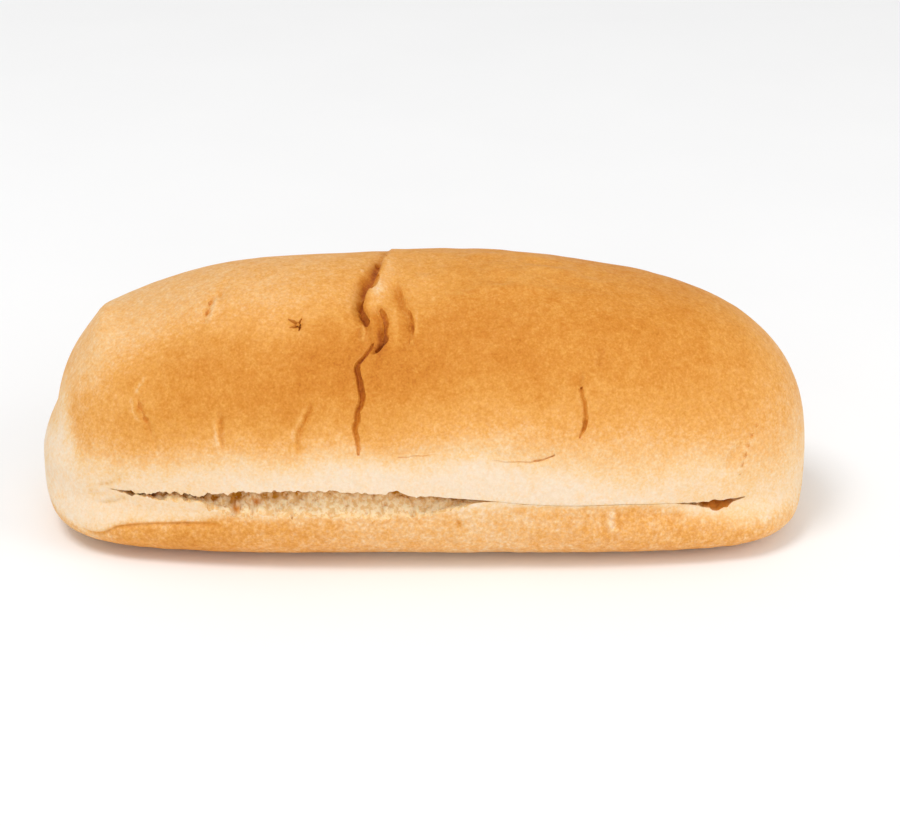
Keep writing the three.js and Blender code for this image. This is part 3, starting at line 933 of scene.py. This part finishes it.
# %% Booleans
crust = bpy.data.materials.new("browned_crust_and_painted_light")
crumb = bpy.data.materials.new("torn_crumb_and_painted_shadow")
bun.data.materials.append(crust)
leaf.data.materials.append(crumb)
for bar in bars:
    bar.data.materials.append(crust)


def cut_out(obj, tool):
    """Takes the tool's shape out of the object, and removes the tool."""
    face_out(tool)
    select_only(obj)
    cut = obj.modifiers.new(tool.name, "BOOLEAN")
    cut.operation = "DIFFERENCE"
    cut.solver = "MANIFOLD"
    cut.material_mode = "TRANSFER"
    cut.object = tool
    bpy.ops.object.modifier_apply(modifier=cut.name)
    bpy.data.objects.remove(tool)


select_only(bars[0])
for bar in bars:
    bar.select_set(True)
bpy.ops.object.join()
for tool in (leaf, bars[0]):
    cut_out(bun, tool)
print("faces after the cuts:", len(bun.data.polygons))

# %% Keep the one large piece
SHARP_FROM = math.radians(40)  # edges that turn more than this look sharp

heights = points_of(bun)[:, 2]
choose(bun, "VERT", np.arange(len(heights)) == heights.argmax())
bpy.ops.mesh.select_linked()
bpy.ops.mesh.select_all(action="INVERT")
bpy.ops.mesh.delete(type="VERT")
end_edit()
bpy.ops.object.shade_smooth_by_angle(angle=SHARP_FROM)
bun.data.calc_loop_triangles()
print("triangles:", len(bun.data.loop_triangles))

# %% [markdown]
# ## How brown each place is
#
# The oven browned the dome and the foot, while the sides, which touched the neighbouring buns,
# stayed almost white. One number for each point says how brown it is, from 0 for pale dough to
# about 0.65 for the darkest band. The crown is paler than that band, most of all on the left,
# partly from its own bake and partly as painted sheen. The number is kept in the mesh as an
# attribute, and the material turns it into colour. Painting the mesh in this way follows the
# shape exactly, which a pattern made only in the material could not.
#
# The lines below give, at a few places x, the heights s where a zone starts and how brown it
# gets. More numbers of this kind follow for the creases, the grain and the crumb in the cut.

# %% Zones of the crust
# Each line gives a value at a few places x. The heights s are measured round the roll.
PALE_SIDE = {-76: 0.1, -66: 0.11, -58: 0.1, -45: 0.12, -36: 0.06, -30: 0.02, 25: 0.02, 40: 0.05,
             52: 0.15, 62: 0.15, 70: 0.13, 76: 0.12}
RISE_FROM = {-66: 5, -58: 6, -45: 9, -30: 8, -18: 9, -4: 9, 10: 10.5, 25: 6, 40: 3, 52: 8, 62: 3,
             70: -3}  # the height s where the side starts to brown
RISE_OVER = {-66: 18, -45: 16, -30: 18.5, -18: 20, -4: 22, 10: 23, 25: 27, 40: 36, 52: 32, 62: 41,
             70: 45}  # and how much further up it is brownest
DARKEST = {-74: 0.3, -66: 0.37, -58: 0.47, -45: 0.57, -30: 0.6, -18: 0.66, -4: 0.65, 10: 0.62,
           25: 0.58, 52: 0.58, 62: 0.52, 70: 0.38, 76: 0.3}
CROWN_FROM = {-66: 26, -58: 29, -45: 30, -30: 28, -18: 30, -4: 31, 10: 35, 30: 40}
# How brown the crown is, paler to the left: partly its own bake and partly painted sheen
CROWN_BAKE_AND_SHEEN = {-72: 0.23, -58: 0.28, -45: 0.32, -30: 0.35, -18: 0.38, -4: 0.43, 10: 0.51, 25: 0.5,
         40: 0.55, 52: 0.55, 62: 0.48, 70: 0.36, 76: 0.28}
CROWN_OVER = 14
FOOT_EDGE = {-76: -7, -65: -8, -62: -6.5, -58.8: -4, -50.8: -2, -45: -1, -41: 0.4, -37: 0.9,
             -31: 1.0, -20: 1.5, -6: 2.8, 8: 4, 14: 4.6, 33: 4.2, 42: 3.2, 48: 0.1, 52: -2.1,
             61: -4.3, 68: -5.8, 76: -8}
FOOT_OVER = 4.2  # the foot is full brown this much further down
FOOT = {-66: 0.28, -58: 0.41, -45: 0.49, -30: 0.37, -18: 0.33, -4: 0.29, 10: 0.26, 25: 0.29,
        40: 0.34, 52: 0.36, 62: 0.36, 74: 0.23}
FOOT_START = -0.6  # its browning starts this far above its edge,
UNDER_LIP = (-0.4, 0.2)  # and along the cut between these depths under the upper lip
# The pale lobe at the left end: how brown it is, x of its edge at a few heights s, half the
# edge's width, and the heights that it starts between and ends at
LOBE = 0.06
LOBE_EDGE = {4: -66.5, 12: -68, 20: -69.5, 30: -70.5, 42: -72.5, 56: -74}
LOBE_OVER, LOBE_FROM, LOBE_TO = 2.5, (-11, -8), 60
END_FACE = (4, 22)  # so near the long axis, on the end faces, s gives way to the plain height
# The edges of the zones stray by so many millimetres, in waves of such a size
DRIFT = [(1.3, 9), (0.6, 3)]
CROWN_DRIFT, FOOT_DRIFT, LOBE_DRIFT = 1.5, 0.7, 0.8  # shares of that
zone_noise = Wander(41)


def stray(noise, waves, x, y, z):
    """Unevenness made of several waves."""
    return sum(height * noise(size, x, y, z) for height, size in waves)


def browning_and_sheen(x, y, z):
    """How brown the crust is at each point, with painted sheen on the crown."""
    s, radius = place_of(x, -np.abs(y), z)
    s = mix(z - WAIST, s, smooth(*END_FACE, radius))
    drift = stray(zone_noise, DRIFT, x, y, z)
    pale, start, over, darkest, crown_from, crown, foot_edge, foot = (
        along_cut(line, x) for line in
        (PALE_SIDE, RISE_FROM, RISE_OVER, DARKEST, CROWN_FROM, CROWN_BAKE_AND_SHEEN, FOOT_EDGE, FOOT))
    dome = mix(pale, darkest, np.sin(math.pi / 2 * np.clip((s + drift - start) / over, 0, 1)))
    # The crown: partly its own paler bake and partly painted sheen
    dome = mix(dome, crown, smooth(0, CROWN_OVER, s + CROWN_DRIFT * drift - crown_from))
    below = foot_edge - s + FOOT_DRIFT * drift
    over_cut = (y < 0) & (np.abs(x) < CUT_RIGHT)
    under_lip = np.where(over_cut, smooth(*UNDER_LIP, lip_height(x) - z), 1)
    value = mix(dome, foot, smooth(FOOT_START, FOOT_OVER, below) * under_lip)
    lobe = smooth(-LOBE_OVER, LOBE_OVER, along_cut(LOBE_EDGE, s) - x + LOBE_DRIFT * drift)
    return mix(value, LOBE, lobe * smooth(*LOBE_FROM, s) * (s < LOBE_TO))


print("how brown the crown is:", browning_and_sheen(*np.array([[0.0], [0.0], [HEIGHT]])).round(2))

# %% Painted shade and highlight in the creases, the cracks and the cut, and other tones
def depth_in(x, y, z):
    """How far a point is below the crust, in millimetres."""
    s, radius = place_of(x, y, z)
    x_before = x - setback(x, z)
    return crust_radius(x_before, s, y, z) - radius


# Spots beside the big crack, painted shade in hollows and painted highlight on lit crests: x, s,
# how much, reach along x and s
LIT_AND_SHADED_SPOTS = [
    (-9, 44.4, -0.24, 1.4, 3.2),  # the crest of the flap
    (-6.9, 50.6, -0.12, 1.2, 3.6),
    (-5.6, 35.6, -0.11, 0.8, 3.0),  # the lip of the hook
    (-11.4, 46.8, 0.3, 1.4, 3.0),  # the hollow by the flap
    (-9.6, 51, 0.24, 1.3, 2.6),
    (-8.2, 35, 0.12, 0.9, 2.4),  # the slope into the hook
    (-4.8, 43.4, 0.1, 1.0, 2.6),
]
FOLD_SHADE = dict(beside=0.7, reach=1.1, within=8)  # darkest in the hollow on its left
# Orange-brown spots on the crumb behind the lips: x, how far below the lip, and their reach
# both ways
BROWN_SPOTS = [(-52.1, 0.7, 0.9, 0.5), (-36.1, 3.7, 0.7, 0.7), (-32.5, 2.9, 1.1, 0.4),
          (56.7, 1.0, 3.0, 1.6)]
BROWN_SPOT_STRENGTH = 1.4
# Painted shadow under the upper lip: how far behind the lips the crumb turns dark
SHADOW_IN_CUT = {-62: 0.9, -42: 1.0, -37: 2.3, -30: 2.5, -24: 2.5, -20: 2.7, -12: 3.7, -6: 3.0, 4: 2.2,
         12: 0.9, 63: 0.8}
SHADOW_IN_CUT_OVER = 0.9
SHADOW_IN_CUT_DRIFT = [(0.7, 1.1), (0.5, 3)]
COARSE_FOOT, COARSE_LOBE, LOBE_COARSENESS = (-1, 1.5), (-62, -70), 0.35
shadow_in_cut_noise = Wander(42)


def brown_spot(x, z):
    """How much orange-brown the crumb behind the lips gets in a few spots."""
    below = lip_height(x) - z
    spots = [bell(x - at, far) * bell(below - down, deep) for at, down, far, deep in BROWN_SPOTS]
    return np.clip(BROWN_SPOT_STRENGTH * sum(spots), 0, 1)


def shadow_in_cut(x, y, z, depth):
    """How dark the painted shadow on the crumb is behind the lips of the cut."""
    ragged = stray(shadow_in_cut_noise, SHADOW_IN_CUT_DRIFT, x, y, z)
    return smooth(0, SHADOW_IN_CUT_OVER, depth + ragged - along_cut(SHADOW_IN_CUT, x))


def coarseness(x, y, z):
    """How coarse the skin's grain is: most on the foot, and some on the left lobe."""
    s, _ = place_of(x, -np.abs(y), z)
    foot = smooth(*COARSE_FOOT, along_cut(FOOT_EDGE, x) - s)
    return np.clip(foot + LOBE_COARSENESS * smooth(*COARSE_LOBE, x), 0, 1)


def painted_fold_light(x, y, z):
    """Painted shade in wrinkles, folds and hollows, and painted highlight on fine ridges."""
    s, _ = place_of(x, y, z)
    tone = sum(wrinkle_mark(x, s, wrinkle, "tone") for wrinkle in WRINKLES)
    for fold in FOLDS:
        beside, share = fold["trail"].near(x, s, FOLD_SHADE["within"])
        hollow = bell(beside + FOLD_SHADE["beside"], FOLD_SHADE["reach"])
        tone += fold["tone"] * hollow * fade_ends(share, fold.get("fade", FADE))
    return tone + sum(patch(x, s, *painted_spot) for painted_spot in LIT_AND_SHADED_SPOTS)


print("lit_and_shaded_spots:", len(LIT_AND_SHADED_SPOTS), "and orange_brown spots:", len(BROWN_SPOTS))

# %% Carry the numbers in the mesh
x, y, z = points_of(bun).T
depth = np.clip(depth_in(x, y, z), 0, None)
CARRIED = {
    "browning_and_sheen": browning_and_sheen(x, y, z),
    "fold_light_and_shade": painted_fold_light(x, y, z),
    "depth": depth,
    "coarse": coarseness(x, y, z),
    "brown_spot": brown_spot(x, z),
    "shadow_in_cut": shadow_in_cut(x, y, z, depth),
}
for name, values in CARRIED.items():
    attribute = bun.data.attributes.new(name, "FLOAT", "POINT")
    attribute.data.foreach_set("value", np.asarray(values, np.float32))
print("deepest point of the cut, mm:", round(float(depth.max()), 1))

# %% [markdown]
# ## Writing materials as sums
#
# A material in Blender is a net of nodes. Simple sums in it take many nodes, so `Wire` wraps a
# node's output and lets Python's own signs add them: `a + 0.5 * b` makes two Math nodes. All
# other nodes come from one method, `Finish.node`.

# %% Wire
class Wire:
    """The output of a node, which +, - and * can be used on."""

    def __init__(self, tree, socket):
        self.tree, self.socket = tree, socket

    def math(self, operation, first, second):
        made = self.tree.nodes.new("ShaderNodeMath")
        made.operation = operation
        for socket, value in zip(made.inputs, (first, second)):
            plug(self.tree, socket, value)
        return Wire(self.tree, made.outputs[0])

    def __add__(self, other):
        return self.math("ADD", self, other)

    def __radd__(self, other):
        return self.math("ADD", other, self)

    def __sub__(self, other):
        return self.math("SUBTRACT", self, other)

    def __rsub__(self, other):
        return self.math("SUBTRACT", other, self)

    def __mul__(self, other):
        return self.math("MULTIPLY", self, other)

    def __rmul__(self, other):
        return self.math("MULTIPLY", other, self)


def plug(tree, socket, value):
    """Links a wire to a socket, or sets the socket to a plain value."""
    if isinstance(value, Wire):
        tree.links.new(value.socket, socket)
    else:
        socket.default_value = value


print("signs that a wire can be used with: + - *")


# %% Materials from nodes
def set_stops(ramp, stops):
    while len(ramp.elements) > 1:
        ramp.elements.remove(ramp.elements[-1])
    for index, (position, colour) in enumerate(stops):
        stop = ramp.elements.new(position) if index else ramp.elements[0]
        stop.position, stop.color = position, colour


class Finish:
    """A material that is being made."""

    def __init__(self, material):
        material.use_nodes = True
        self.tree = material.node_tree
        self.tree.nodes.clear()
        self.place = self.node("ShaderNodeTexCoord", give="Object")

    def node(self, kind, settings=None, sockets=None, give=0):
        """Adds a node: settings first, then its sockets, and gives back one output."""
        made = self.tree.nodes.new(kind)
        for name, value in (settings or {}).items():
            if name == "stops":
                set_stops(made.color_ramp, value)
            else:
                setattr(made, name, value)
        for name, value in (sockets or {}).items():
            plug(self.tree, made.inputs[name], value)
        return Wire(self.tree, made.outputs[give]) if made.outputs else made

    def own(self, name):
        """A number that the mesh carries for each point."""
        return self.node("ShaderNodeAttribute", {"attribute_name": name}, give="Fac")

    def noise(self, size, detail=2.0, roughness=0.5):
        """Cloudy unevenness, from 0 to 1, with clouds about `size` millimetres across."""
        sockets = {"Vector": self.place, "Scale": 1 / (size * MM), "Detail": detail,
                   "Roughness": roughness}
        return self.node("ShaderNodeTexNoise", None, sockets, give="Fac")

    def between(self, value, low, high, to_low=0.0, to_high=1.0):
        """Goes smoothly from one number to another as the value goes from low to high."""
        sockets = {"Value": value, "From Min": low, "From Max": high, "To Min": to_low,
                   "To Max": to_high}
        return self.node("ShaderNodeMapRange", {"interpolation_type": "SMOOTHSTEP"}, sockets)

    def blend(self, first, second, share):
        """Mixes two colours. The node has sockets for numbers too, so these go by position."""
        return self.node("ShaderNodeMix", {"data_type": "RGBA"},
                         {0: share, 6: first, 7: second}, give=2)

    def bump(self, strength, distance, height):
        sockets = {"Strength": strength, "Distance": distance * MM, "Height": height}
        return self.node("ShaderNodeBump", None, sockets, give="Normal")

    def surface(self, sockets):
        shader = self.node("ShaderNodeBsdfPrincipled", None, sockets)
        self.node("ShaderNodeOutputMaterial", None, {"Surface": shader})


print("materials to finish:", [slot.name for slot in bun.data.materials])


# %% Colours
def colour(red, green, blue):
    """A colour as it looks on a screen, from 0 to 255, as light: the sRGB curve undone."""
    shares = [value / 255 for value in (red, green, blue)]
    light = [v / 12.92 if v <= 0.04045 else ((v + 0.055) / 1.055) ** 2.4 for v in shares]
    return (*light, 1.0)


print("half grey on a screen, as light:", round(colour(128, 128, 128)[0], 2))

# %% [markdown]
# ## The browned crust
#
# Bread crust browns from cream through gold to a warm brown, always along the same row of
# colours. So the material is a colour ramp, and everything that browns or pales a place only
# moves it along the ramp: the zones that the mesh carries, slow clouds, and a fine speckle of
# tiny blisters a millimetre or less across. Painted shade in the cracks, creases and hollows,
# painted highlight on ridges and painted sheen on the crown move places along the same ramp.
#
# The skin has a soft sheen, and a low bump from its grain.

# %% Crust material
BROWNS = [
    # (how brown, colour): the skin is mostly under 0.65, the last stops are painted shade in cracks
    (0.0, colour(238, 218, 193)),
    (0.10, colour(240, 211, 174)),
    (0.20, colour(239, 200, 147)),
    (0.30, colour(237, 184, 117)),
    (0.40, colour(231, 168, 88)),
    (0.50, colour(222, 155, 69)),
    (0.60, colour(211, 138, 50)),
    (0.68, colour(201, 125, 36)),
    (0.80, colour(176, 95, 24)),
    (1.0, colour(136, 62, 14)),
]
PALE_PIT, PIT = colour(224, 192, 148), colour(196, 114, 36)
PITS, COARSE_PITS = 0.28, 0.12  # how strong the pits are, and how much more on coarse skin
# How far each unevenness moves a place along the ramp, and how much further on coarse skin
CLOUDS, MOTTLE, SPECKLE, FINE, COARSER = 0.14, 0.25, 0.22, 0.28, 0.2
CRACK_SHADE = 0.2  # and the same for painted shade on a crack's walls, darker with depth
MIDDLE = 0.5  # of every noise

skin = Finish(crust)
baked_and_sheen = skin.own("browning_and_sheen")
coarse = skin.own("coarse")
clouds = skin.noise(9, 3)
mottle = skin.noise(2.1, 3, 0.6)
speckle = skin.noise(0.8, 2, 0.6)
fine = skin.noise(0.42, 2)
# Painted shade on the walls of the cracks, darker with depth
crack_shade = skin.between(skin.own("depth"), 0.08, 0.75)
toast_and_painted_light = baked_and_sheen + CLOUDS * (clouds - MIDDLE) + (MOTTLE + COARSER * coarse) * (mottle - MIDDLE)
toast_and_painted_light = toast_and_painted_light + (SPECKLE + COARSER * coarse) * (speckle - MIDDLE) + FINE * (fine - MIDDLE)
# Painted shade in creases, hollows and cracks, and painted highlight on ridges
toast_and_painted_light = toast_and_painted_light + skin.own("fold_light_and_shade") + CRACK_SHADE * crack_shade
plain_colour = skin.node("ShaderNodeValToRGB", {"stops": BROWNS}, {"Fac": toast_and_painted_light})
pit_colour = skin.blend(PALE_PIT, PIT, skin.between(baked_and_sheen, 0.1, 0.4))
pitted = (PITS + COARSE_PITS * coarse) * skin.between(skin.noise(0.7, 3, 0.65), 0.66, 0.34)
crust_colour = skin.blend(plain_colour, pit_colour, pitted)
height = skin.noise(0.8, 4, 0.65) + 0.7 * skin.noise(2.2, 2) + coarse * skin.noise(1.2, 3)
grain_bump = skin.bump(0.75, 0.16, height)
skin.surface({
    "Base Color": crust_colour,
    "Roughness": skin.between(mottle, 0.3, 0.7, 0.5, 0.64),
    "Normal": grain_bump,
    "Specular IOR Level": 0.2,
    "Subsurface Weight": 0.1,
    "Subsurface Radius": (1.0, 0.55, 0.25),
    "Subsurface Scale": 1.2 * MM,
})
print("crust nodes:", len(crust.node_tree.nodes))

# %% [markdown]
# ## The torn crumb
#
# Fresh crumb is cream-coloured and full of bubbles. Behind the lips of the cut it is painted a
# dark golden brown as painted shadow, and the bubbles get painted shade, so its colour also
# follows two numbers that the mesh carries: the depth, and how dark the painted shadow is behind
# the lips.

# %% Crumb material
CREAM = colour(248, 224, 182)
GOLDEN = colour(240, 196, 128)
SHADED_CREAM = colour(226, 172, 94)
# Painted shadow: the dark brown of the crumb behind the lips
CUT_SHADOW_BROWN = colour(182, 118, 14)
# The orange-brown of a few spots on the crumb behind the lips
SPOT_COLOUR = colour(208, 128, 42)

soft = Finish(crumb)
bubbles = soft.noise(0.85, 3, 0.6)
clumps = soft.noise(2.0, 3, 0.6)
# Painted shade in the bubbles of the crumb
shade = soft.between(bubbles, 0.58, 0.38, 0.0, 0.65)
rim = soft.between(soft.own("depth"), 1.2, 0.0, 0.0, 0.5)
light_crumb = soft.blend(soft.blend(CREAM, GOLDEN, rim), SHADED_CREAM, shade)
# How much painted shadow falls on the crumb behind the lips, in patches
shadow_share = soft.own("shadow_in_cut") * soft.between(clumps, 0.42, 0.56, 0.4, 1.0)
shaded_crumb = soft.blend(light_crumb, CUT_SHADOW_BROWN, shadow_share)
crumb_colour = soft.blend(shaded_crumb, SPOT_COLOUR, soft.own("brown_spot"))
crumb_bump = soft.bump(0.8, 0.35, bubbles)
soft.surface({
    "Base Color": crumb_colour,
    "Roughness": soft.between(bubbles, 0.3, 0.7, 0.8, 0.95),
    "Normal": crumb_bump,
    "Specular IOR Level": 0.25,
    "Subsurface Weight": 0.15,
    "Subsurface Radius": (1.0, 0.6, 0.3),
    "Subsurface Scale": 1.5 * MM,
})
print("crumb nodes:", len(crumb.node_tree.nodes))

# %% Floor material
FLOOR_WHITE, FLOOR_GREY = colour(252, 252, 252), colour(249, 249, 249)
pale_floor = bpy.data.materials.new("pale_floor")
table = Finish(pale_floor)
table.surface({
    "Base Color": table.blend(FLOOR_WHITE, FLOOR_GREY, table.noise(40, 2)),
    "Roughness": 0.9,
})
floor.data.materials.append(pale_floor)
print("floor nodes:", len(pale_floor.node_tree.nodes))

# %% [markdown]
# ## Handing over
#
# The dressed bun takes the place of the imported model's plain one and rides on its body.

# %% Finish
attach(bun, "root")
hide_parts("bun")
